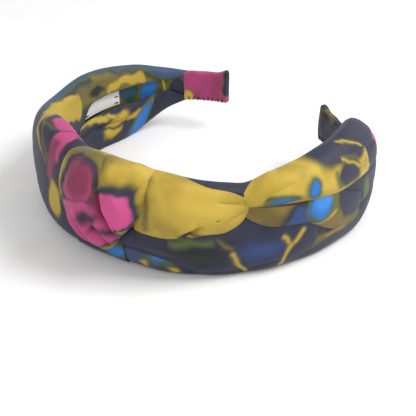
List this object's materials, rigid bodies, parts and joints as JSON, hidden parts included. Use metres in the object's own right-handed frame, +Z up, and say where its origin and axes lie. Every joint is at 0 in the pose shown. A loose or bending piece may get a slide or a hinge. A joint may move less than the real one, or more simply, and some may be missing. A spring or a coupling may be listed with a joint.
{
  "type": "knotted headband",
  "caption": "Springy C-shaped hair band covered in printed cotton, with a wide folded scarf and a knot at the crown.",
  "frame": {"origin": "centre of the footprint, on the surface the band lies on", "axes": "+Z up across the band's width, knot at -Y, tips towards +Y, the left arm at -X"},
  "size_m": [0.1572, 0.1458, 0.048],
  "materials": {
    "core_plastic": "matt",
    "sleeve_print": "fine printed cotton",
    "scarf_print": "fine printed cotton",
    "label_cloth": "woven satin tape",
    "thread": "spun polyester thread"
  },
  "bodies": {
    "crown": {"core_crown": "core_plastic", "sleeve_crown": "sleeve_print", "scarf_crown": "scarf_print", "scarf_lobe": "scarf_print", "knot": "scarf_print", "knot_tacks": "thread"},
    "left_arm": {"core_left": "core_plastic", "sleeve_left": "sleeve_print", "scarf_left": "scarf_print", "tip_cover_left": "scarf_print", "seam_stitches_left": "thread", "label": "label_cloth", "label_stitches": "thread"},
    "right_arm": {"core_right": "core_plastic", "sleeve_right": "sleeve_print", "scarf_right": "scarf_print", "tip_cover_right": "scarf_print", "seam_stitches_right": "thread"}
  },
  "joints": [
    {"name": "left_flex", "type": "hinge", "parent": "crown", "child": "left_arm", "pos_m": [-0.05674, -0.02722, 0.024], "axis": [0, 0, 1], "range_deg": [-4, 14], "stiffness_Nm_per_rad": 1.1},
    {"name": "right_flex", "type": "hinge", "parent": "crown", "child": "right_arm", "pos_m": [0.05674, -0.02722, 0.024], "axis": [0, 0, -1], "range_deg": [-4, 14], "stiffness_Nm_per_rad": 1.1}
  ]
}
